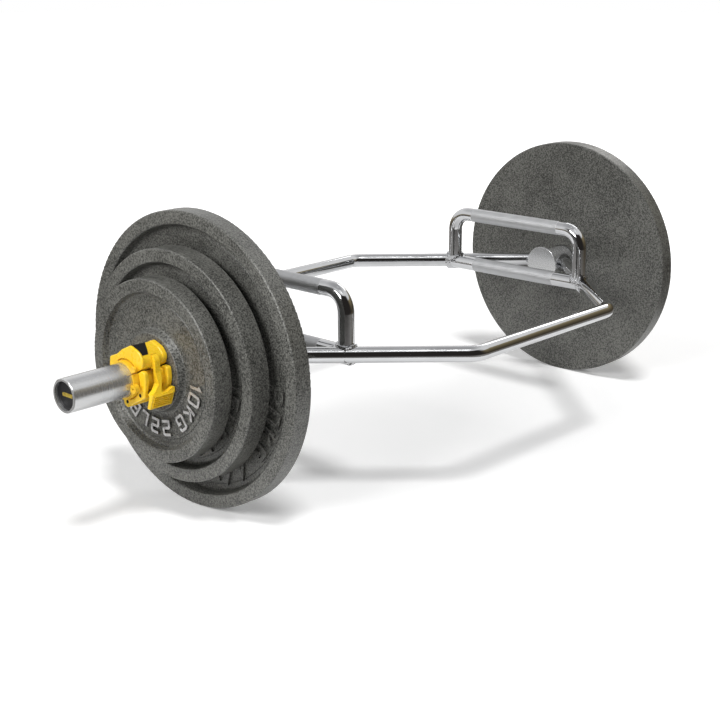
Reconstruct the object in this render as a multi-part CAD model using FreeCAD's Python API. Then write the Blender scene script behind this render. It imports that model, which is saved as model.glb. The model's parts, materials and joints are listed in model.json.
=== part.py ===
import FreeCAD, Part
import math
import os
from FreeCAD import Vector

# Loaded hex trap bar. Millimetres, +Z up, X along the bar, origin on the floor under its middle.
# The end at -X is the near end, and the far end is the same turned half a turn about Z.

# Plates: outer radius, thickness, width of the flat rim, depth of the recess behind the rim
LARGE_R = 225.0
LARGE_T = 31.0
LARGE_RIM = 20.5
LARGE_RECESS = 17.0
MIDDLE_R = 174.5
MIDDLE_T = 35.5
MIDDLE_RIM = 20.0
MIDDLE_RECESS = 17.0
SMALL_R = 136.0
SMALL_T = 33.0
SMALL_RIM = 19.0
SMALL_RECESS = 13.0
HUB_R = 58.0
CAST_DRAFT = 4.0
CAST_EDGE = 2.0
WEB_ROUND = 5.0
FIELD_INSET = 9.0
FIELD_STEP = 1.5
BORE_CHAMFER = 1.5
BORE_CLEAR = 0.5
PLATE_GAP = 0.3

# Sleeve, its inner disc and its end plug
SLEEVE_R = 25.0
SLEEVE_WALL = 4.0
SLEEVE_CHAMFER = 1.0
SLEEVE_INNER = 57.0
SLEEVE_END_X = 718.5
DISC_R = 33.0
DISC_T = 5.0
DISC_EDGE = 1.0
PLUG_T = 10.0
PLUG_RECESS = 5.0
PLUG_DISH = 1.5
PLATE_STANDOFF = 9.0

# Hexagon of round bar, all at the height of the sleeves
FRAME_R = 12.5
FRAME_BEND = 32.0
CORNER_X = 177.0
CORNER_Y = 291.5
MEET_X = 456.0

# Low grips between the diagonals, and the raised handles above them
GRIP_INSET = 148.0
GRIP_R = 13.0
HANDLE_R = 12.5
HANDLE_RISE = 95.0
HANDLE_BEND = 32.0
POST_INSET = 11.0
WELD_LEG = 4.0

# Clip collar: lengths along the sleeve, places counted outwards from its inner end, beside the plates
CLIP_GAP = 0.5
CLIP_L = 45.5
INNER_FLANGE_W = 9.0
UPPER_FLANGE_W = 4.5
FRONT_FLANGE_W = 7.5
MOUTH_L = 5.0
UPPER_LINER_OUT = 7.5
FRONT_LINER_OUT = 8.5
FRONT_EAR_OUT = 13.0
EAR_ROOT = 3.0
KNUCKLE_L = 21.0
ARM_W = 9.0
PAD_W = 41.0
LATCH_PIN_L = 30.0
SIDE_CLEAR = 0.5

# Slanted inner side of the inlay's pocket: place along the clip, and y
POCKET_BACK = (15.0, -5.0)
POCKET_FRONT = (31.0, -34.0)

# Clip collar: heights are counted outwards from the bore of its jaws
CLIP_CLEAR = 0.3
LINER_WALL = 3.0
JAW_WALL = 3.5
JAW_EDGE = 2.0
MOUTH_STEP = 2.0
UPPER_DIP = 1.0
FRONT_DIP = 4.0
INLAY_DIP = 0.5
POCKET_OVER = 10.0
SPLIT_DEG = 148.5
SPLIT_GAP_DEG = 3.5
HINGE_DEG = -90.0
HINGE_H = 5.5
HINGE_GAP_DEG = 4.0
KNUCKLE_R = 8.0
KNUCKLE_CLEAR = 0.4
LINER_CLEAR = 1.5
PIN_R = 2.75
PIN_CLEAR = 0.06
LATCH_DEG = 140.0
LATCH_H = 15.4
EYE_R = 10.0
KEEPER_DEG = 212.0
KEEPER_H = 6.8
UPPER_END_DEG = -75.0
POCKET_DEG = (66.0, 130.0)
WINDOW_DEG = 190.0
HOOK_ROOM_DEG = 245.0
UPPER_EAR_DEG = 142.0
UPPER_EAR_H = 3.5
UPPER_EAR_R = 5.0
FRONT_EAR_DEG = 192.0
FRONT_EAR_H = 2.5
FRONT_EAR_R = 6.5
EAR_HOLE_R = 1.6

# Latch arm: heights are counted from the sleeve's axis
ARM_T = 5.0
ARM_KNEE_Z = 14.0
ARM_HEEL_Z = 0.0
ARM_BEND = 9.0
PAD_TOP_Z = -14.0
PAD_END_Z = -37.0
PAD_OUT_H = 27.0
PAD_LEAN = 8.5
PAD_T = 8.0
PAD_END_T = 6.5
PAD_ROUND = 1.5
HOOK_T = 4.0
HOOK_REACH = 1.0
HOOK_CLEAR = 0.3
RIDGES = 6
RIDGE_R = 1.3
RIDGE_INSET = 4.0
HORN_W = 13.0
HORN_TIP_W = 4.0
HORN_H = 4.0
HORN_FOOT = 4.0

# Latch arm from the front: how far its inner side has moved in and its outer side out, each with its z
ARM_TAPER = [(1.5, 3.0), (7.0, -11.0)]
ARM_FLARE_Z = -2.0
ARM_FLARE = (8.0, -9.5)

# Outlines of the two jaws: angle from +Y towards +Z in degrees, height, and radius of the corner
UPPER_OUTLINE = [(SPLIT_DEG, 13.5, 8.0), (140, 23.5, 10.0), (124, 26.0, 20.0), (103, 24.5, 6.0),
                 (79, 14.5, 20.0), (61, 10.5, 25.0), (37, 16.5, 4.0), (23, 12.5, 10.0), (0, 9.0, 15.0),
                 (-25, 8.0, 15.0), (-50, 8.0, 15.0), (UPPER_END_DEG, 8.0, 3.0)]
FRONT_OUTLINE = [(SPLIT_DEG + SPLIT_GAP_DEG, 10.5, 4.0), (158, 16.5, 5.0), (177, 14.0, 25.0),
                 (195, 13.5, 20.0), (208, 16.0, 4.0), (221, 12.0, 6.0), (240, 8.5, 12.0)]
INNER_FRONT_OUTLINE = [(SPLIT_DEG + SPLIT_GAP_DEG, 12.0, 4.0), (157.5, 21.5, 5.0), (177, 19.5, 25.0),
                       (195, 17.5, 20.0), (208, 17.5, 4.0), (221, 12.5, 6.0), (240, 8.5, 12.0)]

# Places that follow from the sizes above
AXIS_Z = LARGE_R
AXIS = Vector(0, 0, AXIS_Z)
SLEEVE_START_X = MEET_X - SLEEVE_INNER
PLATE_START_X = MEET_X + PLATE_STANDOFF
GRIP_X = MEET_X - GRIP_INSET
DIAGONAL_Y = GRIP_INSET * CORNER_Y / (MEET_X - CORNER_X)
POST_Y = DIAGONAL_Y - POST_INSET
JAW_BORE_R = SLEEVE_R + CLIP_CLEAR + LINER_WALL
JAW_OUT_R = JAW_BORE_R + JAW_WALL
CLIP_START_X = PLATE_START_X + LARGE_T + MIDDLE_T + SMALL_T + 2 * PLATE_GAP + CLIP_GAP

# Reach of the shapes that only cut or limit others
BEYOND = 200.0


def rounded_edges(corners, closed):
    """Lines and tangent arcs through corners, each a (point, radius) pair."""
    count = len(corners)
    ends = []
    for i, (point, radius) in enumerate(corners):
        if radius == 0 or (not closed and i in (0, count - 1)):
            ends.append((point, None, point))
            continue
        before = (corners[i - 1][0] - point).normalize()
        after = (corners[(i + 1) % count][0] - point).normalize()
        half = before.getAngle(after) / 2
        reach = radius / math.tan(half)
        inward = (before + after).normalize()
        middle = point + inward * (radius / math.sin(half) - radius)
        ends.append((point + before * reach, middle, point + after * reach))
    edges = []
    for i in range(count):
        start, middle, stop = ends[i]
        if middle is not None:
            edges.append(Part.Arc(start, middle, stop).toShape())
        if closed or i < count - 1:
            edges.append(Part.makeLine(stop, ends[(i + 1) % count][0]))
    return edges


def round_bar(points, radius, bend):
    """Solid round bar along straight runs joined by tangent bends."""
    path = Part.Wire(rounded_edges([(p, bend) for p in points], False))
    section = Part.Wire(Part.makeCircle(radius, points[0], points[1] - points[0]))
    return path.makePipeShell([section], True, False)


def cylinder_x(radius, x_low, x_high, y=0.0, z=AXIS_Z):
    """Cylinder along X."""
    return Part.makeCylinder(radius, x_high - x_low, Vector(x_low, y, z), Vector(1, 0, 0))


def turned(corners, x_start):
    """Solid of revolution about the bar's axis, outwards from x_start at the near end."""
    points = [(Vector(-x_start - x, 0, AXIS_Z + r), fillet) for x, r, fillet in corners]
    face = Part.Face(Part.Wire(rounded_edges(points, True)))
    return face.revolve(AXIS, Vector(1, 0, 0), 360)


def far_copy(shape):
    """The same piece at the far end."""
    copy = shape.copy()
    copy.rotate(Vector(0, 0, 0), Vector(0, 0, 1), 180)
    return copy


def plate(radius, thickness, rim, recess, x_start):
    """Cast plate: flat back, flat rim, recessed web with a raised field, and a hub level with the rim."""
    bore = SLEEVE_R + BORE_CLEAR
    floor = thickness - recess
    wall_foot = radius - rim - CAST_DRAFT
    field_edge = wall_foot - FIELD_INSET
    corners = [(0, bore + BORE_CHAMFER, 0), (0, radius, CAST_EDGE), (thickness, radius, CAST_EDGE),
               (thickness, radius - rim, CAST_EDGE), (floor, wall_foot, WEB_ROUND),
               (floor, field_edge, FIELD_STEP / 2),
               (floor + FIELD_STEP, field_edge - FIELD_STEP, FIELD_STEP / 2),
               (floor + FIELD_STEP, HUB_R + CAST_DRAFT, WEB_ROUND), (thickness, HUB_R, CAST_EDGE),
               (thickness, bore + BORE_CHAMFER, 0), (thickness - BORE_CHAMFER, bore, 0),
               (BORE_CHAMFER, bore, 0)]
    return turned(corners, x_start)


def sleeve():
    """Steel tube that carries the plates."""
    inner = SLEEVE_R - SLEEVE_WALL
    length = SLEEVE_END_X - SLEEVE_START_X
    corners = [(0, inner, 0), (0, SLEEVE_R, 0), (length - SLEEVE_CHAMFER, SLEEVE_R, 0),
               (length, SLEEVE_R - SLEEVE_CHAMFER, 0), (length, inner, 0)]
    return turned(corners, SLEEVE_START_X)


def sleeve_disc():
    """Disc that closes the sleeve inside the hexagon."""
    disc = cylinder_x(DISC_R, -SLEEVE_START_X, -SLEEVE_START_X + DISC_T)
    return disc.makeFillet(DISC_EDGE, [e for e in disc.Edges if e.Closed])


def end_plug():
    """Plug set back in the sleeve's open end, with a shallow dish in its face."""
    radius = SLEEVE_R - SLEEVE_WALL
    corners = [(0, 0, 0), (0, radius, 0), (PLUG_T, radius, 0), (PLUG_T, radius - PLUG_DISH, 0),
               (PLUG_T - PLUG_DISH, radius - 2 * PLUG_DISH, 0), (PLUG_T - PLUG_DISH, 0, 0)]
    return turned(corners, SLEEVE_END_X - PLUG_RECESS - PLUG_T)


def frame_points(side):
    """Centre line of one half of the hexagon. Side is -1 at the front and 1 at the rear."""
    return [Vector(-MEET_X, 0, AXIS_Z), Vector(-CORNER_X, side * CORNER_Y, AXIS_Z),
            Vector(CORNER_X, side * CORNER_Y, AXIS_Z), Vector(MEET_X, 0, AXIS_Z)]


def frame_bar(side):
    """Bent bar whose two ends are cut to the sleeves."""
    bar = round_bar(frame_points(side), FRAME_R, FRAME_BEND)
    for x in (-MEET_X, MEET_X):
        bar = bar.cut(cylinder_x(SLEEVE_R, x - BEYOND, x + BEYOND))
    return bar


def low_grip(frame_bars):
    """Straight bar across the hexagon, cut to the diagonals."""
    start = Vector(-GRIP_X, -DIAGONAL_Y, AXIS_Z)
    return Part.makeCylinder(GRIP_R, 2 * DIAGONAL_Y, start, Vector(0, 1, 0)).cut(frame_bars)


def handle_points():
    """Centre line of the raised handle, from foot to foot."""
    top = AXIS_Z + HANDLE_RISE
    return [Vector(-GRIP_X, -POST_Y, AXIS_Z), Vector(-GRIP_X, -POST_Y, top),
            Vector(-GRIP_X, POST_Y, top), Vector(-GRIP_X, POST_Y, AXIS_Z)]


def raised_handle(frame_bars, grip):
    """Bent bar whose feet are cut to the grip and the diagonals."""
    return round_bar(handle_points(), HANDLE_R, HANDLE_BEND).cut([*frame_bars, grip])


def bead(first, second, pieces):
    """Weld bead along the seam of two bars, given both bars made thicker by the weld's leg."""
    return first.common(second).cut(pieces)


def thick_diagonal(side):
    """Diagonal at the near end, thicker by the weld's leg."""
    start, corner = frame_points(side)[:2]
    run = corner - start
    return Part.makeCylinder(FRAME_R + WELD_LEG, run.Length, start, run)


def grip_welds(frame_bars, grip, handle):
    """Beads at the grip's ends and the handle's feet, one solid on each side."""
    pieces = [*frame_bars, grip, handle]
    solids = []
    for side in (-1, 1):
        diagonal = thick_diagonal(side)
        foot = Vector(-GRIP_X, side * POST_Y, AXIS_Z)
        middle = Vector(-GRIP_X, 0, AXIS_Z)
        thick_grip = Part.makeCylinder(GRIP_R + WELD_LEG, DIAGONAL_Y, middle, Vector(0, side, 0))
        thick_post = Part.makeCylinder(HANDLE_R + WELD_LEG, HANDLE_RISE / 2, foot)
        end_bead = bead(thick_grip, diagonal, pieces)
        foot_beads = [bead(thick_post, bar, pieces) for bar in (diagonal, thick_grip)]
        solids.extend(end_bead.fuse(foot_beads).removeSplitter().Solids)
    return Part.makeCompound(solids)


def sleeve_welds(frame_bars, tube):
    """Beads where the two diagonals meet the sleeve."""
    thick_tube = cylinder_x(SLEEVE_R + WELD_LEG, -SLEEVE_END_X, -SLEEVE_START_X)
    core = cylinder_x(SLEEVE_R, -SLEEVE_END_X, -SLEEVE_START_X)
    solids = []
    for side, bar in zip((-1, 1), frame_bars):
        corner = Vector(-MEET_X - BEYOND, min(side, 0) * BEYOND, AXIS_Z - BEYOND)
        half = Part.makeBox(2 * BEYOND, BEYOND, 2 * BEYOND, corner)
        ring = bead(thick_tube, thick_diagonal(side), [bar, core, tube]).common(half)
        solids.extend(ring.Solids)
    return Part.makeCompound(solids)


def polar(degrees, height):
    """Point of the clip's cross-section: (y, z) from the sleeve's axis."""
    radius = JAW_BORE_R + height
    return radius * math.cos(math.radians(degrees)), radius * math.sin(math.radians(degrees))


def rim(outline, dip=0.0):
    """Corners of a jaw's outline, lowered by dip: (y, z, radius)."""
    return [(*polar(degrees, height - dip), radius) for degrees, height, radius in outline]


def prism(corners, start, stop):
    """Closed outline of (y, z) or (y, z, radius) corners, drawn out between two places along the clip."""
    x = -CLIP_START_X - start
    points = [(Vector(x, y, AXIS_Z + z), sum(radius)) for y, z, *radius in corners]
    face = Part.Face(Part.Wire(rounded_edges(points, True)))
    return face.extrude(Vector(start - stop, 0, 0))


def clip_round(radius, centre, start, stop):
    """Cylinder along the clip about a (y, z) centre, between two places along the clip."""
    return cylinder_x(radius, -CLIP_START_X - stop, -CLIP_START_X - start, centre[0], AXIS_Z + centre[1])


def wedge(low_deg, high_deg, start, stop):
    """Sector about the sleeve's axis of less than half a turn, to keep or cut by angle."""
    middle = (low_deg + high_deg) / 2
    rays = [polar(a, BEYOND) for a in (low_deg, middle, high_deg)]
    return prism([(0.0, 0.0), *rays], start, stop)


def soften(solid):
    """Round the rims of a solid's two flat ends."""
    ends = [f for f in solid.Faces if abs(abs(f.normalAt(0, 0).x) - 1) < 1e-6]
    edges = [e for f in ends for e in f.Edges]
    return solid.makeFillet(JAW_EDGE, edges)


def span(width):
    """Start and end along the clip of a piece of this width at the middle of its length."""
    return (CLIP_L - width) / 2, (CLIP_L + width) / 2


def hinge_at():
    """Axis of the jaws' hinge, below the sleeve."""
    return polar(HINGE_DEG, HINGE_H)


def latch_at():
    """Axis of the latch arm's pin in the upper jaw."""
    return polar(LATCH_DEG, LATCH_H)


def keeper_at():
    """Axis of the keeper pin in the front jaw, which the latch hooks under."""
    return polar(KEEPER_DEG, KEEPER_H)


def jaw_body(inner_corners, outer_corners, low_corners, outer_width):
    """Rounded flanges at the inner end, beside the plates, and at the outer end, and a lower middle."""
    inner_flange = soften(prism(inner_corners, 0, INNER_FLANGE_W))
    outer_flange = soften(prism(outer_corners, CLIP_L - outer_width, CLIP_L))
    middle = prism(low_corners, INNER_FLANGE_W / 2, CLIP_L - outer_width / 2)
    return middle.fuse([inner_flange, outer_flange])


def bore():
    """Room for the liners, wider at the clip's outer mouth."""
    mouth = clip_round(JAW_BORE_R + MOUTH_STEP, (0, 0), CLIP_L - MOUTH_L, CLIP_L)
    return clip_round(JAW_BORE_R, (0, 0), 0, CLIP_L).fuse(mouth)


def down_to_wall(block):
    """The part of a block outside the jaws' wall."""
    return block.cut(clip_round(JAW_OUT_R, (0, 0), 0, CLIP_L))


def knuckle(start, stop):
    """Barrel of the jaws' hinge, clear of the other jaw's liner."""
    barrel = clip_round(KNUCKLE_R, hinge_at(), start, stop)
    return barrel.cut(clip_round(JAW_BORE_R + LINER_CLEAR, (0, 0), start, stop))


def pocket(dip):
    """Block for the inlay: narrower at the front, down to the jaw's wall, lower than the outline by dip."""
    low, high = POCKET_BACK[0], CLIP_L - UPPER_FLANGE_W
    plan = [(high, BEYOND), (low, BEYOND), POCKET_BACK, POCKET_FRONT, (POCKET_FRONT[0], -BEYOND),
            (high, -BEYOND)]
    points = [(Vector(-CLIP_START_X - place, y, AXIS_Z), 0) for place, y in plan]
    column = Part.Face(Part.Wire(rounded_edges(points, True))).extrude(Vector(0, 0, BEYOND))
    block = prism([(0.0, 0.0), *rim(UPPER_OUTLINE, dip)], low, high)
    return down_to_wall(block.common(column).common(wedge(*POCKET_DEG, low, high)))


def eye_room():
    """Round notch for the latch arm's eye, open below it."""
    limits = span(ARM_W + 2 * SIDE_CLEAR)
    y, z = latch_at()
    below = prism([(-BEYOND, 0.0), (y, 0.0), (y, z), (-BEYOND, z)], *limits)
    return down_to_wall(clip_round(EYE_R + SIDE_CLEAR, latch_at(), *limits).fuse(below))


def upper_jaw():
    """Rear and top of the clip: flanged ends, pocket for the inlay, notch for the latch, middle knuckle."""
    centre = (0.0, 0.0)
    outline = [centre, *rim(UPPER_OUTLINE)]
    body = jaw_body(outline, outline, [centre, *rim(UPPER_OUTLINE, UPPER_DIP)], UPPER_FLANGE_W)
    body = body.cut([pocket(-POCKET_OVER), eye_room()])
    end = rim(UPPER_OUTLINE)[-1][:2]
    web = prism([centre, end, hinge_at()], *span(KNUCKLE_L))
    body = body.fuse([web, knuckle(*span(KNUCKLE_L))])
    hinge_hole = clip_round(PIN_R + PIN_CLEAR, hinge_at(), 0, CLIP_L)
    latch_hole = clip_round(PIN_R, latch_at(), *span(LATCH_PIN_L))
    return body.cut([bore(), hinge_hole, latch_hole]).removeSplitter()


def front_jaw():
    """Front of the clip: end knuckles, a wide slot for the latch arm, and a window beside its hook."""
    y, z = hinge_at()
    tail = [(y, z - KNUCKLE_R), (y, z), (0.0, 0.0)]
    body = jaw_body([*rim(INNER_FRONT_OUTLINE), *tail], [*rim(FRONT_OUTLINE), *tail],
                    [*rim(FRONT_OUTLINE, FRONT_DIP), *tail], FRONT_FLANGE_W)
    body = body.fuse(knuckle(0, CLIP_L))
    gap = span(KNUCKLE_L + 2 * SIDE_CLEAR)
    knuckle_room = clip_round(KNUCKLE_R + KNUCKLE_CLEAR, hinge_at(), *gap)
    hinge_gap = wedge(HINGE_DEG - HINGE_GAP_DEG, HINGE_DEG + HINGE_GAP_DEG, *gap)
    arm_start, arm_stop = span(ARM_W + 2 * SIDE_CLEAR)
    slot = down_to_wall(wedge(SPLIT_DEG, HOOK_ROOM_DEG, arm_start, CLIP_L - FRONT_FLANGE_W))
    window = down_to_wall(wedge(WINDOW_DEG, HOOK_ROOM_DEG, INNER_FLANGE_W, arm_stop))
    holes = [clip_round(PIN_R, p, 0, CLIP_L) for p in (hinge_at(), keeper_at())]
    return body.cut([bore(), knuckle_room, hinge_gap, slot, window, *holes]).removeSplitter()


def upright(corners, y_low, y_high):
    """Outline of (place along the clip, z) corners, drawn out along Y."""
    points = [(Vector(-CLIP_START_X - place, y_low, AXIS_Z + z), 0) for place, z in corners]
    face = Part.Face(Part.Wire(rounded_edges(points, True)))
    return face.extrude(Vector(0, y_high - y_low, 0))


def arm_outline():
    """Latch arm seen from the front: its inner side tapers, and its outer side widens to the pad's end."""
    start, stop = span(ARM_W)
    pad_stop = span(PAD_W)[1]
    top = latch_at()[1] + EYE_R
    foot = PAD_TOP_Z - PAD_T
    taper = [(start + inset, z) for inset, z in ARM_TAPER]
    flare = (stop + ARM_FLARE[0], ARM_FLARE[1])
    return [(start, top), (start, ARM_KNEE_Z), *taper, (taper[-1][0], foot), (pad_stop, foot),
            (pad_stop, PAD_TOP_Z), flare, (stop, ARM_FLARE_Z), (stop, top)]


def horn(pad_out, pad_in):
    """Raised corner of the pad beside the plates."""
    start = span(PAD_W)[0]
    foot = PAD_TOP_Z - HORN_FOOT
    outline = [(start, foot), (start, PAD_TOP_Z + HORN_H), (start + HORN_TIP_W, PAD_TOP_Z + HORN_H),
               (start + HORN_W, PAD_TOP_Z), (start + HORN_W, foot)]
    return upright(outline, pad_out + PAD_LEAN * HORN_FOOT / (PAD_TOP_Z - PAD_END_Z), pad_in)


def thumb_pad(pad_out, pad_in):
    """Thick leaning pad with ridges along it and a raised corner."""
    end_out = pad_out + PAD_LEAN
    outline = [(pad_out, PAD_TOP_Z, PAD_ROUND), (end_out, PAD_END_Z, PAD_ROUND),
               (end_out + PAD_END_T, PAD_END_Z, PAD_ROUND), (pad_in, PAD_TOP_Z, PAD_ROUND)]
    body = soften(prism(outline, *span(PAD_W)))
    ridges = []
    for i in range(RIDGES):
        share = (i + 1) / (RIDGES + 1)
        at = (pad_out + PAD_LEAN * share, PAD_TOP_Z + (PAD_END_Z - PAD_TOP_Z) * share)
        ridges.append(clip_round(RIDGE_R, at, *span(PAD_W - 2 * RIDGE_INSET)))
    return body.fuse([horn(pad_out, pad_in), *ridges])


def latch_arm():
    """Arm that hangs from the upper jaw, with a hook under the keeper pin and a thumb pad."""
    eye_y, eye_z = latch_at()
    keeper_y, keeper_z = keeper_at()
    arm_out = eye_y - EYE_R
    arm_in = arm_out + ARM_T
    pad_out = -JAW_BORE_R - PAD_OUT_H
    pad_in = pad_out + PAD_T
    hook_top = keeper_z - PIN_R - HOOK_CLEAR
    hook_tip = keeper_y + HOOK_REACH
    across = span(ARM_W)
    profile = [(arm_in, eye_z), (arm_out, eye_z), (arm_out, ARM_KNEE_Z, ARM_BEND),
               (pad_out + PAD_ROUND, PAD_TOP_Z), (pad_in, PAD_TOP_Z - ARM_T), (arm_in, ARM_HEEL_Z, ARM_BEND)]
    slab = prism(profile, across[0], span(PAD_W)[1])
    arm = slab.common(upright(arm_outline(), -BEYOND, 0))
    eye = clip_round(EYE_R, latch_at(), *across)
    hook = prism([(hook_tip, hook_top), (pad_in, hook_top), (pad_in, hook_top - HOOK_T),
                  (hook_tip, hook_top - HOOK_T)], *across)
    body = arm.fuse([eye, hook, thumb_pad(pad_out, pad_in)])
    return body.cut(clip_round(PIN_R + PIN_CLEAR, latch_at(), 0, CLIP_L)).removeSplitter()


def sector(low_deg, high_deg, start, stop):
    """Two wedges side by side, for a sector of more than half a turn."""
    middle = (low_deg + high_deg) / 2
    return wedge(low_deg, middle, start, stop).fuse(wedge(middle, high_deg, start, stop))


def liner(low_deg, high_deg, out, ear):
    """Inner shell of a jaw, longer than the jaw on the outer side, with an ear."""
    stop = CLIP_L + FRONT_EAR_OUT
    shell = clip_round(JAW_BORE_R, (0, 0), 0, CLIP_L + out).fuse(ear)
    shell = shell.common(sector(low_deg, high_deg, 0, stop))
    return shell.cut(clip_round(JAW_BORE_R - LINER_WALL, (0, 0), 0, stop)).removeSplitter()


def upper_liner():
    """Liner of the upper jaw, with a round ear beside the split."""
    stop = CLIP_L + UPPER_LINER_OUT
    ear = clip_round(UPPER_EAR_R, polar(UPPER_EAR_DEG, UPPER_EAR_H), stop - EAR_ROOT, stop)
    return liner(HINGE_DEG + HINGE_GAP_DEG, SPLIT_DEG, UPPER_LINER_OUT, ear)


def front_liner():
    """Liner of the front jaw, with a longer ear that has a hole in it."""
    start = CLIP_L + FRONT_LINER_OUT - EAR_ROOT
    stop = CLIP_L + FRONT_EAR_OUT
    centre = polar(FRONT_EAR_DEG, FRONT_EAR_H)
    ear = clip_round(FRONT_EAR_R, centre, start, stop)
    low = SPLIT_DEG + SPLIT_GAP_DEG
    shell = liner(low, HINGE_DEG + 360 - HINGE_GAP_DEG, FRONT_LINER_OUT, ear)
    return shell.cut(clip_round(EAR_HOLE_R, centre, start, stop))


def clip_pieces():
    """All pieces of the clip collar at the near end."""
    return {
        "clip_upper_jaw": upper_jaw(),
        "clip_front_jaw": front_jaw(),
        "clip_latch_arm": latch_arm(),
        "clip_upper_liner": upper_liner(),
        "clip_front_liner": front_liner(),
        "clip_inlay": pocket(INLAY_DIP).cut(eye_room()),
        "clip_hinge_pin": clip_round(PIN_R, hinge_at(), 0, CLIP_L),
        "clip_keeper_pin": clip_round(PIN_R, keeper_at(), 0, CLIP_L),
        "clip_latch_pin": clip_round(PIN_R, latch_at(), *span(LATCH_PIN_L)),
    }


def end_pieces(frame_bars):
    """Everything that comes once at each end."""
    tube = sleeve()
    grip = low_grip(frame_bars)
    handle = raised_handle(frame_bars, grip)
    middle_x = PLATE_START_X + LARGE_T + PLATE_GAP
    small_x = middle_x + MIDDLE_T + PLATE_GAP
    pieces = {
        "sleeve": tube,
        "sleeve_disc": sleeve_disc(),
        "end_plug": end_plug(),
        "low_grip": grip,
        "raised_handle": handle,
        "grip_welds": grip_welds(frame_bars, grip, handle),
        "sleeve_welds": sleeve_welds(frame_bars, tube),
        "large_plate": plate(LARGE_R, LARGE_T, LARGE_RIM, LARGE_RECESS, PLATE_START_X),
        "middle_plate": plate(MIDDLE_R, MIDDLE_T, MIDDLE_RIM, MIDDLE_RECESS, middle_x),
        "small_plate": plate(SMALL_R, SMALL_T, SMALL_RIM, SMALL_RECESS, small_x),
    }
    pieces.update(clip_pieces())
    return pieces


def main():
    """Build every piece and write one file for each."""
    os.makedirs("parts", exist_ok=True)
    frame_bars = [frame_bar(-1), frame_bar(1)]
    nodes = {"front_frame_bar": frame_bars[0], "rear_frame_bar": frame_bars[1]}
    for name, shape in end_pieces(frame_bars).items():
        nodes["near_" + name] = shape
        nodes["far_" + name] = far_copy(shape)
    for name, shape in nodes.items():
        shape.exportStep("parts/" + name + ".step")
        print(name, len(shape.Solids), shape.isValid(), round(shape.Volume))


main()
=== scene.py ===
import json
import math

import bmesh
import bpy
from bpy.props import FloatProperty, FloatVectorProperty, PointerProperty, StringProperty
from mathutils import Matrix, Vector

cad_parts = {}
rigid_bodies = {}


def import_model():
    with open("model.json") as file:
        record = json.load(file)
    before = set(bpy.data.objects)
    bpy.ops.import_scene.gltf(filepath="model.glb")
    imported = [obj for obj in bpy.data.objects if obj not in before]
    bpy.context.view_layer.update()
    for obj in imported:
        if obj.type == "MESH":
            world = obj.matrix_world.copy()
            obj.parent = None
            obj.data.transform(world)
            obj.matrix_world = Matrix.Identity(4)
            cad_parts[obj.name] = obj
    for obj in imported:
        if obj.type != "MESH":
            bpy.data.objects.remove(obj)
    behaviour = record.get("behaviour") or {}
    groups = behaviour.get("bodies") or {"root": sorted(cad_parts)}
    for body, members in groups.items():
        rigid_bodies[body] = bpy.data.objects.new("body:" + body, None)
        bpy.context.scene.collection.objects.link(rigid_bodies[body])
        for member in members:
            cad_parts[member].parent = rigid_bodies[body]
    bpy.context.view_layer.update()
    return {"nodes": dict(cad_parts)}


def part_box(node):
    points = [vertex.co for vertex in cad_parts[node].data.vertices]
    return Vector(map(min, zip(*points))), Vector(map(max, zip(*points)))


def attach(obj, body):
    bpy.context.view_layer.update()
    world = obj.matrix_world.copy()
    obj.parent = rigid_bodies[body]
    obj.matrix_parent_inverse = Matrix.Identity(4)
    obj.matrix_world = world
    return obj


bl_info = {
    "name": "Hex trap bar looks",
    "version": (1, 0, 0),
    "blender": (4, 5, 0),
    "location": "3D View > Sidebar > Trap bar",
    "description": "Finishes, plate numerals, knurling and a plain studio "
                   "for a loaded hex trap bar",
    "category": "Object",
}

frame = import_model()
ENDS = (("near", -1), ("far", 1))
PLATES = ("small", "middle", "large")
AXIS_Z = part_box("near_large_plate")[1].z / 2
MERGE = 1e-6

# Plug stripe, in metres: thickness, length and height, corner radius, and distance of its middle
# from the plug's outer end.
STRIPE_SIZE = (0.0008, 0.0230, 0.0056)
STRIPE_CORNER = 0.0018
STRIPE_SEGMENTS = 5
STRIPE_INSET = 0.0015

# Raised letters: gaps as shares of their height, the share of their relief at which their middle
# lies above the web, and how squarely a face looks outwards to count as a letter's face.
LETTER_GAP = 0.30
WORD_GAP = 0.50
LETTER_LIFT = 0.4
FACE_OUTWARDS = 0.9

# Share of the knurl's depth by which its valleys clear the bar.
VALLEY_LIFT = 0.1

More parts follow.
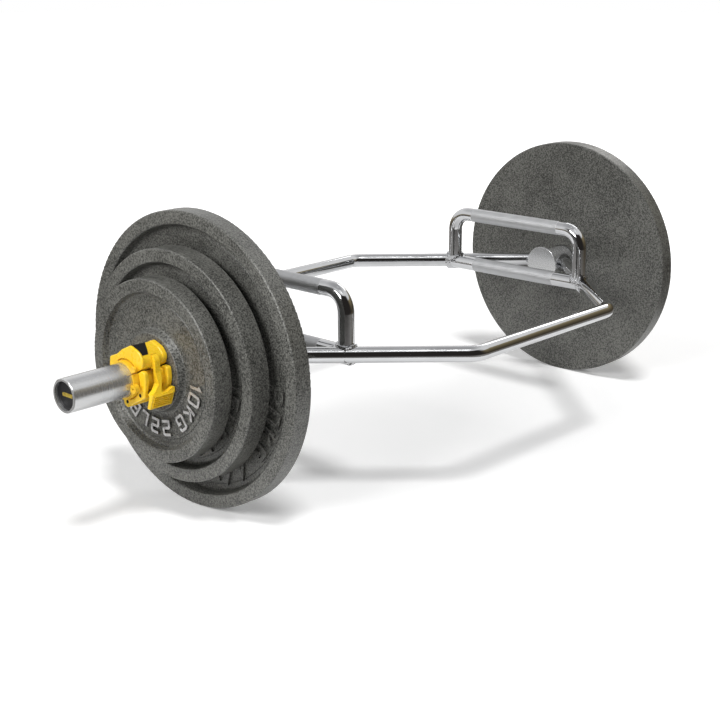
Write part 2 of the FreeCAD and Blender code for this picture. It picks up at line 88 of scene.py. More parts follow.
# Strokes of the letters, as lines of points in shares of their height.
STROKES = {
    "0": [((0.1, 0), (0.6, 0), (0.7, 0.1), (0.7, 0.9), (0.6, 1), (0.1, 1), (0, 0.9), (0, 0.1),
           (0.1, 0))],
    "1": [((0, 0.85), (0.2, 1), (0.2, 0))],
    "2": [((0, 1), (0.6, 1), (0.7, 0.9), (0.7, 0.6), (0.6, 0.5), (0.1, 0.5), (0, 0.4), (0, 0),
           (0.7, 0))],
    "3": [((0, 1), (0.6, 1), (0.7, 0.9), (0.7, 0.6), (0.6, 0.51), (0.2, 0.51)),
          ((0.6, 0.49), (0.7, 0.4), (0.7, 0.1), (0.6, 0), (0, 0))],
    "4": [((0.5, 0), (0.5, 1), (0, 0.35), (0.7, 0.35))],
    "5": [((0.7, 1), (0, 1), (0, 0.55), (0.6, 0.55), (0.7, 0.45), (0.7, 0.1), (0.6, 0), (0, 0))],
    "K": [((0, 0), (0, 1)), ((0.7, 1), (0.05, 0.42)), ((0.24, 0.58), (0.7, 0))],
    "G": [((0.7, 0.78), (0.7, 0.9), (0.6, 1), (0.1, 1), (0, 0.9), (0, 0.1), (0.1, 0), (0.6, 0),
           (0.7, 0.1), (0.7, 0.5), (0.38, 0.5))],
    "L": [((0, 1), (0, 0), (0.65, 0))],
    "B": [((0, 0), (0.6, 0), (0.7, 0.1), (0.7, 0.41), (0.6, 0.5), (0.7, 0.59), (0.7, 0.9),
           (0.6, 1), (0, 1), (0, 0)), ((0.04, 0.5), (0.56, 0.5))],
}

# Studio walls: outline as (radius, height), and how far they narrow across the bar.
WALL_OUTLINE = ((0.80, 0.003), (3.2, 0.020), (3.2, 2.4), (2.0, 3.4), (0.3, 3.6))
WALL_TOP = WALL_OUTLINE[-1][1]
WALL_STEPS = 64
WALL_NARROWING = (1.0, 0.8, 1.0)

# Glow of the walls as (share of the height, colour), towards the camera, to its right and
# elsewhere, and the distances between which one side's glow takes over.
WHITE = (1.0, 1.0, 1.0)
CEILING = (0.5, 0.5, 0.51)
CAMERA_DARK = (0.03, 0.027, 0.025)
CAMERA_TONES = ((0.0, CAMERA_DARK), (0.78, CAMERA_DARK), (0.81, WHITE), (0.93, WHITE),
                (1.0, CEILING))
RIGHT_TONES = ((0.0, (0.12, 0.10, 0.07)), (0.006, (0.06, 0.05, 0.035)),
               (0.25, (0.16, 0.13, 0.08)), (0.50, (0.36, 0.30, 0.18)), (0.58, WHITE),
               (0.93, WHITE), (1.0, CEILING))
REST_TONES = ((0.0, (0.42, 0.41, 0.40)), (0.006, (0.10, 0.09, 0.075)),
              (0.12, (0.32, 0.27, 0.19)), (0.20, WHITE), (0.60, WHITE), (1.0, CEILING))
CAMERA_SIDE = (-0.73, -0.68, 0.0)
RIGHT_SIDE = (0.73, -0.68, 0.0)
SIDE_REACH = (0.6, 1.6)

# Floor: half its width, and its glow from the object outwards over a range of distances.
FLOOR_HALF = 15.0
FLOOR_GLOW = (0.16, 0.44)
FLOOR_REACH = (0.8, 2.2)

# Lamps: the sun's direction, the softboxes' size, and each softbox's place and target.
SUN_WAY = (0.19, 0.31, -0.93)
SOFTBOX_SIZE = (1.6, 1.2)
KEY_PLACE = (-3.0, -0.1, 1.8)
KEY_TARGET = (-0.5, 0.0, 0.25)
FILL_PLACE = (3.0, 0.9, 1.8)
FILL_TARGET = (0.5, 0.0, 0.25)

# Camera: place, axes, sensor width in millimetres and the end of its view in metres.
CAMERA_PLACE = (-1.7681, -1.5202, 0.8080)
CAMERA_RIGHT = (0.6777, -0.7354, -0.0039)
CAMERA_UP = (0.2111, 0.1894, 0.9589)
CAMERA_FORWARD = (0.7044, 0.6507, -0.2836)
SENSOR_WIDTH = 36.0
VIEW_END = 60.0


def colour(name, description, default):
    """Colour property."""
    return FloatVectorProperty(name=name, description=description, default=default,
                               subtype="COLOR", size=3, min=0.0, max=1.0)


def length(name, description, default):
    """Length property in metres."""
    return FloatProperty(name=name, description=description, default=default, subtype="DISTANCE",
                         unit="LENGTH", precision=5)


def turn(name, description, degrees):
    """Angle property."""
    return FloatProperty(name=name, description=description, default=math.radians(degrees),
                         subtype="ANGLE", unit="ROTATION")


def words(name, description, default):
    """Property for the letters on a plate."""
    return StringProperty(name=name, description=description, default=default)


def strength(name, description, default):
    """Property for the strength of a light."""
    return FloatProperty(name=name, description=description, default=default, min=0.0)


def power(name, description, watts):
    """Property for the power of a lamp."""
    return FloatProperty(name=name, description=description, default=watts, min=0.0,
                         subtype="POWER", unit="POWER")


class FinishColours(bpy.types.PropertyGroup):
    """Colours of the finishes."""

    chrome: colour("Chrome", "Polished plating of the bars and handles", (0.56, 0.565, 0.575))
    sleeve: colour("Sleeve steel", "Turned steel of the sleeves and discs", (0.60, 0.605, 0.61))
    iron_dark: colour("Iron, dark", "Darker flecks of the hammered paint", (0.034, 0.034, 0.031))
    iron_light: colour("Iron, light", "Lighter flecks of the paint", (0.184, 0.184, 0.168))
    numeral: colour("Numeral faces", "Silver faces of the small plates' numerals",
                    (0.60, 0.60, 0.60))
    clip: colour("Clip", "Glossy plastic of the clip's jaws and latch", (0.90, 0.58, 0.022))
    # The liners are the same yellow plastic as the clip: their darker, more orange colour is
    # painted shade.
    liner: colour("Clip liner", "Satin plastic of the clip's liners", (0.82, 0.50, 0.020))
    inlay: colour("Inlay", "Rubber inlay on the clip", (0.006, 0.006, 0.0065))
    plug: colour("Plug", "Plastic plug in the sleeve's end", (0.018, 0.018, 0.019))
    pin: colour("Pins", "Blackened pins of the clip", (0.020, 0.020, 0.020))
    stripe: colour("Stripe", "Stripe on the plug", (0.80, 0.52, 0.10))


class NumeralSizes(bpy.types.PropertyGroup):
    """Raised numerals and units on the plates."""

    small_words: words("Small plate", "Numerals on the small plates", "10KG 22LB")
    middle_words: words("Middle plate", "Numerals on the middle plates", "15KG 33LB")
    large_words: words("Large plate", "Numerals on the large plates", "20KG 44LB")
    small_ring: length("Small ring", "Radius of the small plates' numerals", 0.0855)
    middle_ring: length("Middle ring", "Radius of the middle plates' numerals", 0.1240)
    large_ring: length("Large ring", "Radius of the large plates' numerals", 0.1720)
    small_height: length("Small height", "Height of the small plates' numerals", 0.0245)
    middle_height: length("Middle height", "Height of the middle plates' numerals", 0.0280)
    large_height: length("Large height", "Height of the large plates' numerals", 0.0320)
    small_web: length("Small web", "Depth of the small plates' web below the rim", 0.0115)
    middle_web: length("Middle web", "Depth of the middle plates' web below the rim", 0.0155)
    large_web: length("Large web", "Depth of the large plates' web below the rim", 0.0155)
    relief: length("Relief", "Thickness of the numerals, of which a tenth is sunk", 0.0040)
    stroke: length("Stroke", "Width of the strokes on the small plates", 0.0042)
    start: turn("Start", "Where the numerals start, clockwise from the top", 92.5)


class KnurlSizes(bpy.types.PropertyGroup):
    """Knurled zones of the grips and handles."""

    pitch: length("Pitch", "Distance between the knurl's points", 0.0016)
    depth: length("Depth", "Height of the knurl's points", 0.00016)
    handle_half: length("Handle zone", "Half the length of the handles' zone", 0.0980)
    grip_half: length("Grip zone", "Half the length of the low grips' zone", 0.0920)
    handle_radius: length("Handle radius", "Radius of the raised handles' bar", 0.0125)
    grip_radius: length("Grip radius", "Radius of the low grips' bar", 0.0130)


class StageSizes(bpy.types.PropertyGroup):
    """Studio round the object."""

    floor: colour("Floor", "Colour of the floor", (0.86, 0.86, 0.86))
    ambient: strength("Ambient", "Strength of the even light", 0.12)
    sun: strength("Sun", "Strength of the soft lamp from above", 1.8)
    sun_spread: turn("Sun spread", "Apparent width of the soft lamp", 15.0)
    key: power("Key", "Power of the softbox at the near end", 66.0)
    fill: power("Fill", "Power of the softbox at the far end", 28.0)
    lens: FloatProperty(name="Lens", description="Focal length on a 36 mm sensor", default=69.4,
                        min=1.0, subtype="DISTANCE_CAMERA")


class TrapBarLooks(bpy.types.PropertyGroup):
    """Everything a user would change."""

    colours: PointerProperty(type=FinishColours, name="Colours", description="Finish colours")
    numerals: PointerProperty(type=NumeralSizes, name="Numerals", description="Raised numerals")
    knurl: PointerProperty(type=KnurlSizes, name="Knurl", description="Knurled zones")
    stage: PointerProperty(type=StageSizes, name="Stage", description="Studio round the object")


class NodeTree:
    """Shader nodes, built up step by step."""

    def __init__(self, tree):
        self.tree = tree

    def fill(self, node, values):
        """Set or link a node's sockets."""
        for key, value in values.items():
            if isinstance(value, bpy.types.NodeSocket):
                self.tree.links.new(value, node.inputs[key])
            else:
                node.inputs[key].default_value = value

    def add(self, kind, values=None, **settings):
        """New node with its settings and sockets."""
        node = self.tree.nodes.new("ShaderNode" + kind)
        for key, value in settings.items():
            setattr(node, key, value)
        self.fill(node, values or {})
        return node

    def spread(self, value, low, high, start=0.3, stop=0.7):
        """Value brought from start..stop to low..high."""
        values = {"Value": value, "From Min": start, "From Max": stop, "To Min": low,
                  "To Max": high}
        return self.add("MapRange", values).outputs["Result"]

    def ramp(self, value, stops):
        """Colour over a value, given (place, colour) stops."""
        node = self.add("ValToRGB", {"Fac": value})
        while len(node.color_ramp.elements) < len(stops):
            node.color_ramp.elements.new(1.0)
        for element, (place, tone) in zip(node.color_ramp.elements, stops):
            element.position = place
            element.color = (*tone, 1.0)
        return node.outputs["Color"]

    def seen_plainly(self):
        """1 for rays that see the plain background: camera, glossy and transmission rays."""
        path = self.add("LightPath")
        total = path.outputs["Is Camera Ray"]
        for name in ("Is Glossy Ray", "Is Transmission Ray"):
            larger = self.add("Math", {0: total, 1: path.outputs[name]}, operation="MAXIMUM")
            total = larger.outputs["Value"]
        return total

    def towards(self, place, side):
        """How far a place lies towards a side: 0 near the middle, 1 well towards it."""
        along = self.add("VectorMath", {0: place, 1: side}, operation="DOT_PRODUCT")
        return self.spread(along.outputs["Value"], 0.0, 1.0, *SIDE_REACH)

    def blend(self, share, first, second):
        """Mix of two colours."""
        values = {"Factor": share, "A": first, "B": second}
        return self.add("Mix", values, data_type="RGBA").outputs["Result"]


class Finish(NodeTree):
    """Material of a piece, on Object coordinates."""

    def __init__(self, name, base, metallic, roughness, **constants):
        self.material = bpy.data.materials.new(name)
        self.material.use_nodes = True
        super().__init__(self.material.node_tree)
        self.shader = self.tree.nodes["Principled BSDF"]
        self.paint(Base_Color=(*base, 1.0), Metallic=metallic, Roughness=roughness, **constants)
        self.place = self.add("TexCoord").outputs["Object"]

    def paint(self, **sockets):
        """Set or link the shader's own sockets."""
        self.fill(self.shader, {key.replace("_", " "): value for key, value in sockets.items()})

    def stretched(self, scale):
        """Object coordinates stretched along the axes."""
        return self.add("Mapping", {"Vector": self.place, "Scale": scale}).outputs["Vector"]

    def noise(self, scale, detail=2.0, place=None):
        """Noise from 0 to 1, with cells of about 1 / scale metres."""
        values = {"Vector": place or self.place, "Scale": scale, "Detail": detail}
        return self.add("TexNoise", values).outputs[0]

    def cells(self, scale, smoothness):
        """Distance to the middle of rounded cells of about 1 / scale metres."""
        values = {"Vector": self.place, "Scale": scale, "Smoothness": smoothness}
        return self.add("TexVoronoi", values, feature="SMOOTH_F1").outputs["Distance"]

    def tones(self, value, low, high, start=0.3, stop=0.7):
        """Colour that goes from low to high over a value."""
        return self.ramp(value, ((start, low), (stop, high)))

    def bump(self, height, distance):
        """Bump on top of any earlier one."""
        values = {"Height": height, "Distance": distance, "Strength": 1.0}
        if self.shader.inputs["Normal"].is_linked:
            values["Normal"] = self.shader.inputs["Normal"].links[0].from_socket
        self.paint(Normal=self.add("Bump", values).outputs["Normal"])


def shade(tone, factor):
    """Tone made lighter or darker."""
    return tuple(min(1.0, channel * factor) for channel in tone)


def chrome_finish(base):
    """Polished plate with faint smears and a slightly wavy surface."""
    finish = Finish("polished_chrome", base, metallic=1.0, roughness=0.06)
    smear = finish.noise(scale=28.0, detail=4.0)
    finish.paint(Base_Color=finish.tones(smear, shade(base, 0.95), shade(base, 1.04)),
                 Roughness=finish.spread(smear, low=0.035, high=0.085))
    finish.bump(finish.noise(scale=160.0, detail=1.0), distance=0.00004)
    return finish.material


def weld_finish(base):
    """Plated weld bead with ripples."""
    finish = Finish("plated_weld", base, metallic=1.0, roughness=0.12)
    ripple = finish.cells(scale=330.0, smoothness=0.35)
    tone = finish.tones(ripple, shade(base, 1.05), shade(base, 0.75), start=0.1, stop=0.8)
    finish.paint(Base_Color=tone,
                 Roughness=finish.spread(finish.noise(scale=200.0), low=0.08, high=0.2))
    finish.bump(ripple, distance=0.0006)
    return finish.material


def knurl_finish(base):
    """Plated knurl, duller than the polished bar, with painted shade: its colour is a darker copy
    of the chrome, uneven over the zone.
    """
    finish = Finish("plated_knurl", base, metallic=1.0, roughness=0.5)
    knurl_shade_noise = finish.noise(scale=60.0, detail=3.0)
    # Painted shade: the knurl's colour is the chrome darkened to between 0.74 and 0.82 of it, in
    # uneven patches.
    finish.paint(Base_Color=finish.tones(knurl_shade_noise, shade(base, 0.74), shade(base, 0.82)),
                 Roughness=finish.spread(knurl_shade_noise, low=0.40, high=0.48))
    return finish.material


def turned_finish(base):
    """Steel turned on a lathe: fine rings across the sleeve and faint scratches along it."""
    finish = Finish("turned_steel", base, metallic=0.8, roughness=0.2)
    across = finish.stretched((2600.0, 4.0, 4.0))
    along = finish.stretched((30.0, 900.0, 900.0))
    rings = finish.noise(scale=1.0, detail=3.0, place=across)
    scratches = finish.noise(scale=1.0, detail=2.0, place=along)
    finish.paint(Base_Color=finish.tones(scratches, shade(base, 0.9), shade(base, 1.04)),
                 Roughness=finish.spread(rings, low=0.20, high=0.30))
    finish.bump(rings, distance=0.00002)
    return finish.material


def hammered_finish(dark, light):
    """Hammered paint on cast iron: small rounded dimples with lighter flecks."""
    finish = Finish("hammered_paint", dark, metallic=0.1, roughness=0.42)
    dimples = finish.cells(scale=290.0, smoothness=0.6)
    flecks = finish.noise(scale=420.0, detail=3.0)
    patches = finish.spread(finish.noise(scale=14.0, detail=3.0), low=-0.05, high=0.05)
    tone = finish.add("Math", {0: flecks, 1: patches}, operation="ADD").outputs["Value"]
    finish.paint(Base_Color=finish.tones(tone, dark, light, start=0.36, stop=0.66),
                 Roughness=finish.spread(flecks, low=0.30, high=0.44))
    finish.bump(dimples, distance=0.0004)
    finish.bump(finish.noise(scale=900.0, detail=2.0), distance=0.00015)
    return finish.material


def numeral_finish(base):
    """Worn silver paint on the numerals' faces."""
    finish = Finish("numeral_silver", base, metallic=0.7, roughness=0.35)
    wear = finish.noise(scale=220.0, detail=5.0)
    tone = finish.tones(wear, shade(base, 0.55), shade(base, 1.1), start=0.32, stop=0.55)
    finish.paint(Base_Color=tone, Roughness=finish.spread(wear, low=0.5, high=0.3))
    finish.bump(finish.noise(scale=500.0, detail=2.0), distance=0.0002)
    return finish.material


def plastic_finish(name, base, roughness, grain):
    """Moulded plastic with a faint flow pattern and a fine grain."""
    finish = Finish(name, base, metallic=0.0, roughness=roughness, Subsurface_Weight=0.08,
                    Subsurface_Scale=0.002)
    flow = finish.noise(scale=45.0, detail=3.0)
    gloss = finish.noise(scale=160.0, detail=3.0)
    finish.paint(Base_Color=finish.tones(flow, shade(base, 0.94), shade(base, 1.03)),
                 Roughness=finish.spread(gloss, roughness - 0.05, roughness + 0.08))
    finish.bump(finish.noise(scale=1400.0, detail=2.0), distance=grain)
    return finish.material


def dull_finish(name, base, roughness, metallic, scale, grain):
    """Dull surface with an even grain."""
    finish = Finish(name, base, metallic, roughness, Specular_IOR_Level=0.2)
    specks = finish.noise(scale, detail=4.0)
    finish.paint(Base_Color=finish.tones(specks, shade(base, 0.7), shade(base, 1.5)),
                 Roughness=finish.spread(specks, roughness - 0.08, roughness + 0.08))
    finish.bump(specks, distance=grain)
    return finish.material


def coat(material, *names):
    """Give CAD nodes a material."""
    for name in names:
        node = frame["nodes"][name]
        node.data.materials.clear()
        node.data.materials.append(material)


def both_ends(*names):
    """Node names at the near and the far end."""
    return [f"{end}_{name}" for end, _ in ENDS for name in names]


def link(thing):
    """Put an object, lamp or camera in the scene."""
    bpy.context.collection.objects.link(thing)
    return thing


def make_object(name, shape, materials=()):
    """Make an object of a bmesh, at the origin."""
    mesh = bpy.data.meshes.new(name)
    shape.to_mesh(mesh)
    shape.free()
    for material in materials:
        mesh.materials.append(material)
    return link(bpy.data.objects.new(name, mesh))


def finish_piece(name, shape, materials, body):
    """Make a piece of a bmesh, and let it ride on a body."""
    piece = make_object(name, shape, materials)
    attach(piece, body)


def letter_shape(letter, height, stroke, relief):
    """Mesh of one raised letter of bent strips in its own plane, and its width."""
    shape = bmesh.new()
    for line in STROKES[letter]:
        points = [shape.verts.new((x * height, y * height, -relief / 2)) for x, y in line]
        for pair in zip(points, points[1:]):
            shape.edges.new(pair)
    bmesh.ops.remove_doubles(shape, verts=shape.verts, dist=MERGE)
    walls = bmesh.ops.extrude_edge_only(shape, edges=shape.edges)["geom"]
    top = [item for item in walls if isinstance(item, bmesh.types.BMVert)]
    bmesh.ops.translate(shape, verts=top, vec=(0.0, 0.0, relief))
    holder = make_object("letter", shape)
    strip = holder.modifiers.new("strip", "SOLIDIFY")
    strip.thickness = stroke
    strip.offset = 0.0
    strip.use_even_offset = True
    graph = bpy.context.evaluated_depsgraph_get()
    mesh = bpy.data.meshes.new_from_object(holder.evaluated_get(graph))
    bpy.data.meshes.remove(holder.data)
    spots = [vertex.co.x for vertex in mesh.vertices]
    middle = (min(spots) + max(spots)) / 2
    mesh.transform(Matrix.Translation((-middle, -height / 2, 0.0)))
    return mesh, max(spots) - min(spots)


def numeral_ring(letters, ring, height, stroke, relief, start):
    """Letters round a ring in the XY plane, tops outwards, clockwise from the start angle."""
    shape = bmesh.new()
    angle = start
    for letter in letters:
        if letter == " ":
            angle += height * WORD_GAP / ring
            continue
        mesh, width = letter_shape(letter, height - stroke, stroke, relief)
        angle += width / 2 / ring
        mesh.transform(Matrix.Rotation(-angle, 4, "Z") @ Matrix.Translation((0.0, ring, 0.0)))
        shape.from_mesh(mesh)
        bpy.data.meshes.remove(mesh)
        angle += (width / 2 + height * LETTER_GAP) / ring
    bmesh.ops.remove_doubles(shape, verts=shape.verts, dist=MERGE)
    bmesh.ops.recalc_face_normals(shape, faces=shape.faces)
    return shape


def facing(side):
    """Turns the XY plane to the outer face of a plate, X to the viewer's right and Y up."""
    return Matrix(((0.0, 0.0, side), (side, 0.0, 0.0), (0.0, 1.0, 0.0))).to_4x4()


def outer_end(node):
    """Distance of a node's outer end from the bar's middle."""
    low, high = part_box(node)
    return max(abs(low.x), abs(high.x))


def knurled_zone(radius, half, pitch, depth):
    """Closed tube along Y with pyramids all over it, whose ends sink into the bar."""
    columns = 2 * round(math.pi * radius / pitch)
    rows = 2 * round(2 * half / pitch)
    shape = bmesh.new()
    bmesh.ops.create_grid(shape, x_segments=columns, y_segments=rows, size=0.5)
    for vertex in shape.verts:
        column = round((vertex.co.x + 0.5) * columns)
        row = round((vertex.co.y + 0.5) * rows)
        reach = radius + depth * ((column + row) % 2) + depth * VALLEY_LIFT
        if row in (0, rows):
            reach = radius - depth
        angle = 2 * math.pi * column / columns
        vertex.co = (reach * math.cos(angle), vertex.co.y * 2 * half, reach * math.sin(angle))
    bmesh.ops.remove_doubles(shape, verts=shape.verts, dist=MERGE)
    bmesh.ops.triangulate(shape, faces=shape.faces, quad_method="SHORT_EDGE")
    open_ends = [edge for edge in shape.edges if edge.is_boundary]
    bmesh.ops.holes_fill(shape, edges=open_ends, sides=0)
    bmesh.ops.recalc_face_normals(shape, faces=shape.faces)
    return shape


class TRAPBAR_OT_frame(bpy.types.Operator):
    """Plate the hexagon's bars, the handles, the grips and the welds"""

    bl_idname = "trapbar.frame"
    bl_label = "Chrome frame"

    def execute(self, context):
        base = tuple(context.scene.trap_bar.colours.chrome)
        coat(chrome_finish(base), "front_frame_bar", "rear_frame_bar",
             *both_ends("low_grip", "raised_handle"))
        coat(weld_finish(base), *both_ends("grip_welds", "sleeve_welds"))
        return {"FINISHED"}


class TRAPBAR_OT_knurl(bpy.types.Operator):
    """Add the knurled zones of the raised handles and the low grips"""

    bl_idname = "trapbar.knurl"
    bl_label = "Knurled zones"

    def execute(self, context):
        looks = context.scene.trap_bar
        sizes = looks.knurl
        material = knurl_finish(tuple(looks.colours.chrome))
        zones = (("raised_handle", sizes.handle_radius, sizes.handle_half),
                 ("low_grip", sizes.grip_radius, sizes.grip_half))
        for end, _ in ENDS:
            for name, radius, half in zones:
                low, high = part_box(f"{end}_{name}")
                shape = knurled_zone(radius, half, sizes.pitch, sizes.depth)
                middle = Vector(((low.x + high.x) / 2, 0.0, high.z - radius))
                bmesh.ops.translate(shape, verts=shape.verts, vec=middle)
                finish_piece(f"{end}_{name}_knurl", shape, [material], "bar")
        return {"FINISHED"}


class TRAPBAR_OT_sleeves(bpy.types.Operator):
    """Finish the sleeves, their discs and plugs, and add the stripe on each plug"""

    bl_idname = "trapbar.sleeves"
    bl_label = "Sleeves"

    def execute(self, context):
        colours = context.scene.trap_bar.colours
        coat(turned_finish(tuple(colours.sleeve)), *both_ends("sleeve", "sleeve_disc"))
        plug = dull_finish("plug_plastic", tuple(colours.plug), roughness=0.42, metallic=0.0,
                           scale=500.0, grain=0.0001)
        coat(plug, *both_ends("end_plug"))
        stripe = dull_finish("stripe_gold", tuple(colours.stripe), roughness=0.32, metallic=0.8,
                             scale=300.0, grain=0.00005)
        for end, side in ENDS:
            self.add_stripe(end, side, stripe)
        return {"FINISHED"}

    def add_stripe(self, end, side, material):
        """Thin rounded bar in the plug's dish."""
        shape = bmesh.new()
        bmesh.ops.create_cube(shape, size=1.0)
        bmesh.ops.scale(shape, verts=shape.verts, vec=STRIPE_SIZE)
        corners = [edge for edge in shape.edges
                   if abs(edge.verts[0].co.x - edge.verts[1].co.x) > MERGE]
        bmesh.ops.bevel(shape, geom=corners, offset=STRIPE_CORNER, segments=STRIPE_SEGMENTS,
                        profile=0.5, affect="EDGES", material=-1)
        place = (side * (outer_end(f"{end}_end_plug") - STRIPE_INSET), 0.0, AXIS_Z)
        bmesh.ops.translate(shape, verts=shape.verts, vec=place)
        finish_piece(f"{end}_plug_stripe", shape, [material], "bar")


class TRAPBAR_OT_plates(bpy.types.Operator):
    """Paint the plates and add their raised numerals"""

    bl_idname = "trapbar.plates"
    bl_label = "Plates"

    def execute(self, context):
        looks = context.scene.trap_bar
        colours = looks.colours
        paint = hammered_finish(tuple(colours.iron_dark), tuple(colours.iron_light))
        silver = numeral_finish(tuple(colours.numeral))
        for end, side in ENDS:
            for size in PLATES:
                coat(paint, f"{end}_{size}_plate")
                # Painted shade: the middle and large plates' numerals get the dark iron paint on
                # their faces, for silver faces that lie in the shade of the deep web.
                faces = silver if size == "small" else paint
                self.add_numerals(end, side, size, looks.numerals, (paint, faces))
        return {"FINISHED"}

    def add_numerals(self, end, side, size, sizes, materials):
        """Numerals on one plate's web, with a material for their sides and one for their faces."""
        body = f"{end}_{size}_plate"
        letters, ring, height, web = (getattr(sizes, f"{size}_{part}")
                                      for part in ("words", "ring", "height", "web"))
        stroke = sizes.stroke * height / sizes.small_height
        shape = numeral_ring(letters, ring, height, stroke, sizes.relief, sizes.start)
        for face in shape.faces:
            face.material_index = int(face.normal.z > FACE_OUTWARDS)
        reach = outer_end(body) - web + sizes.relief * LETTER_LIFT
        place = Matrix.Translation((side * reach, 0.0, AXIS_Z))
        bmesh.ops.transform(shape, matrix=place @ facing(side), verts=shape.verts)
        finish_piece(f"{body}_numerals", shape, materials, body)


class TRAPBAR_OT_clips(bpy.types.Operator):
    """Finish the clip collars' plastic, rubber and pins"""

    bl_idname = "trapbar.clips"
    bl_label = "Clip collars"

    def execute(self, context):
        colours = context.scene.trap_bar.colours
        clip = plastic_finish("clip_plastic", tuple(colours.clip), roughness=0.28, grain=0.00004)
        coat(clip, *both_ends("clip_upper_jaw", "clip_front_jaw", "clip_latch_arm"))
        # Painted shade: the liners get the clip's yellow made darker and more orange.
        liner = plastic_finish("liner_plastic", tuple(colours.liner), roughness=0.38,
                               grain=0.00006)
        coat(liner, *both_ends("clip_upper_liner", "clip_front_liner"))
        inlay = dull_finish("inlay_rubber", tuple(colours.inlay), roughness=0.62, metallic=0.0,
                            scale=700.0, grain=0.0003)
        coat(inlay, *both_ends("clip_inlay"))
        pin = dull_finish("pin_steel", tuple(colours.pin), roughness=0.4, metallic=0.6,
                          scale=300.0, grain=0.00005)
        coat(pin, *both_ends("clip_hinge_pin", "clip_keeper_pin", "clip_latch_pin"))
        return {"FINISHED"}


def stage_material(name):
    """Empty material of the stage, and its nodes."""
    material = bpy.data.materials.new(name)
    material.use_nodes = True
    material.node_tree.nodes.clear()
    return material, NodeTree(material.node_tree)


def floor_finish(base):
    """Pale floor that looks white where no shadow falls."""
    material, nodes = stage_material("pale_floor")
    place = nodes.add("TexCoord").outputs["Object"]
    reach = nodes.add("VectorMath", {0: place}, operation="LENGTH").outputs["Value"]
    glow = nodes.add("Emission", {"Strength": nodes.spread(reach, *FLOOR_GLOW, *FLOOR_REACH)})
    white = nodes.add("BsdfDiffuse", {"Color": (*WHITE, 1.0)})
    seen = nodes.add("AddShader", {0: glow.outputs[0], 1: white.outputs[0]})
    plain = nodes.add("BsdfDiffuse", {"Color": (*base, 1.0)})
    mix = nodes.add("MixShader", {0: nodes.seen_plainly(), 1: plain.outputs[0],
                                  2: seen.outputs[0]})
    nodes.add("OutputMaterial", {"Surface": mix.outputs[0]})
    return material


def wall_finish():
    """Glow of the studio walls, by height and by side."""
    material, nodes = stage_material("studio_walls")
    place = nodes.add("TexCoord").outputs["Object"]
    up = nodes.add("SeparateXYZ", {0: place}).outputs["Z"]
    height = nodes.spread(up, 0.0, 1.0, 0.0, WALL_TOP)
    tone = nodes.ramp(height, REST_TONES)
    for side, tones in ((RIGHT_SIDE, RIGHT_TONES), (CAMERA_SIDE, CAMERA_TONES)):
        tone = nodes.blend(nodes.towards(place, side), tone, nodes.ramp(height, tones))
    glow = nodes.add("Emission", {"Color": tone})
    nodes.add("OutputMaterial", {"Surface": glow.outputs[0]})
    return material


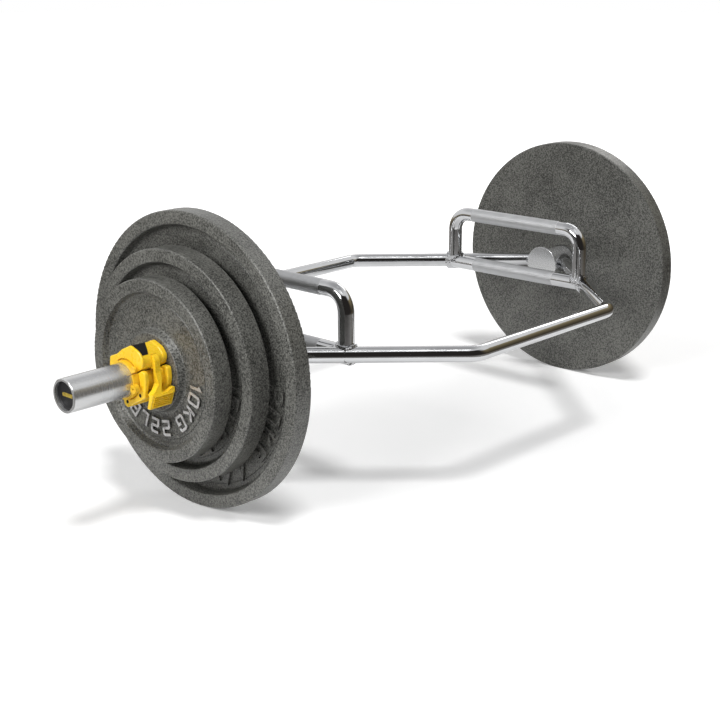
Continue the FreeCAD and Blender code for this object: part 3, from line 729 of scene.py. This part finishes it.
class TRAPBAR_OT_stage(bpy.types.Operator):
    """Make the floor, the studio walls, the white world, the lamps and the camera"""

    bl_idname = "trapbar.stage"
    bl_label = "Stage"

    def execute(self, context):
        sizes = context.scene.trap_bar.stage
        self.add_floor(tuple(sizes.floor))
        self.add_walls()
        self.add_world(context.scene, sizes.ambient)
        self.add_sun(sizes.sun, sizes.sun_spread)
        self.add_softbox("key", sizes.key, KEY_PLACE, KEY_TARGET)
        self.add_softbox("fill", sizes.fill, FILL_PLACE, FILL_TARGET)
        self.add_camera(context.scene, sizes.lens)
        context.scene.view_settings.view_transform = "Standard"
        return {"FINISHED"}

    def add_floor(self, base):
        """Wide flat floor."""
        shape = bmesh.new()
        bmesh.ops.create_grid(shape, x_segments=4, y_segments=4, size=FLOOR_HALF)
        make_object("floor", shape, [floor_finish(base)])

    def add_walls(self):
        """Walls that only reflections show: dark at the camera, warm at its right, else white."""
        shape = bmesh.new()
        corners = [shape.verts.new((x, 0.0, z)) for x, z in WALL_OUTLINE]
        edges = [shape.edges.new(pair) for pair in zip(corners, corners[1:])]
        bmesh.ops.spin(shape, geom=corners + edges, axis=(0, 0, 1), cent=(0, 0, 0),
                       angle=2 * math.pi, steps=WALL_STEPS, use_merge=True)
        bmesh.ops.scale(shape, verts=shape.verts, vec=WALL_NARROWING)
        walls = make_object("studio_walls", shape, [wall_finish()])
        walls.visible_camera = False
        walls.visible_diffuse = False
        walls.visible_shadow = False
        walls.visible_transmission = False

    def add_world(self, scene, ambient):
        """White where it is seen, and even soft light elsewhere."""
        world = bpy.data.worlds.new("studio")
        world.use_nodes = True
        nodes = NodeTree(world.node_tree)
        light = world.node_tree.nodes["Background"]
        nodes.fill(light, {"Color": (*WHITE, 1.0), "Strength": ambient})
        white = nodes.add("Background", {"Color": (*WHITE, 1.0)})
        mix = nodes.add("MixShader", {0: nodes.seen_plainly(), 1: light.outputs[0],
                                      2: white.outputs[0]})
        nodes.fill(world.node_tree.nodes["World Output"], {"Surface": mix.outputs[0]})
        scene.world = world

    def add_sun(self, energy, spread):
        """Soft lamp from nearly straight above."""
        sun = bpy.data.lights.new("sun", "SUN")
        sun.energy = energy
        sun.angle = spread
        lamp = link(bpy.data.objects.new("sun", sun))
        lamp.rotation_euler = Vector(SUN_WAY).to_track_quat("-Z", "Y").to_euler()

    def add_softbox(self, name, watts, place, target):
        """Rectangular soft lamp turned to a target."""
        box = bpy.data.lights.new(name, "AREA")
        box.shape = "RECTANGLE"
        box.size, box.size_y = SOFTBOX_SIZE
        box.energy = watts
        lamp = link(bpy.data.objects.new(name, box))
        lamp.location = place
        way = Vector(target) - lamp.location
        lamp.rotation_euler = way.to_track_quat("-Z", "Y").to_euler()

    def add_camera(self, scene, lens):
        """Camera at the photograph's angle."""
        data = bpy.data.cameras.new("camera")
        data.lens = lens
        data.sensor_width = SENSOR_WIDTH
        data.clip_end = VIEW_END
        camera = link(bpy.data.objects.new("camera", data))
        axes = Matrix((CAMERA_RIGHT, CAMERA_UP, -Vector(CAMERA_FORWARD))).transposed()
        camera.matrix_world = Matrix.Translation(CAMERA_PLACE) @ axes.to_4x4()
        scene.camera = camera


OPERATORS = (TRAPBAR_OT_frame, TRAPBAR_OT_knurl, TRAPBAR_OT_sleeves, TRAPBAR_OT_plates,
             TRAPBAR_OT_clips, TRAPBAR_OT_stage)


class TRAPBAR_PT_panel(bpy.types.Panel):
    """Lists the steps of the build"""

    bl_idname = "TRAPBAR_PT_panel"
    bl_label = "Hex trap bar"
    bl_space_type = "VIEW_3D"
    bl_region_type = "UI"
    bl_category = "Trap bar"

    def draw(self, context):
        for operator in OPERATORS:
            self.layout.operator(operator.bl_idname)


CLASSES = (FinishColours, NumeralSizes, KnurlSizes, StageSizes, TrapBarLooks, *OPERATORS,
           TRAPBAR_PT_panel)


def register():
    """Register the classes and the settings."""
    for kind in CLASSES:
        bpy.utils.register_class(kind)
    bpy.types.Scene.trap_bar = PointerProperty(type=TrapBarLooks, name="Trap bar",
                                               description="Looks of the bar")


def unregister():
    """Remove the settings and the classes."""
    del bpy.types.Scene.trap_bar
    for kind in reversed(CLASSES):
        bpy.utils.unregister_class(kind)


def main():
    """Run every step."""
    for thing in list(bpy.data.objects):
        if thing.type in {"LIGHT", "CAMERA"}:
            bpy.data.objects.remove(thing)
    register()
    bpy.ops.trapbar.frame()
    bpy.ops.trapbar.knurl()
    bpy.ops.trapbar.sleeves()
    bpy.ops.trapbar.plates()
    bpy.ops.trapbar.clips()
    bpy.ops.trapbar.stage()


if __name__ == "__main__":
    main()
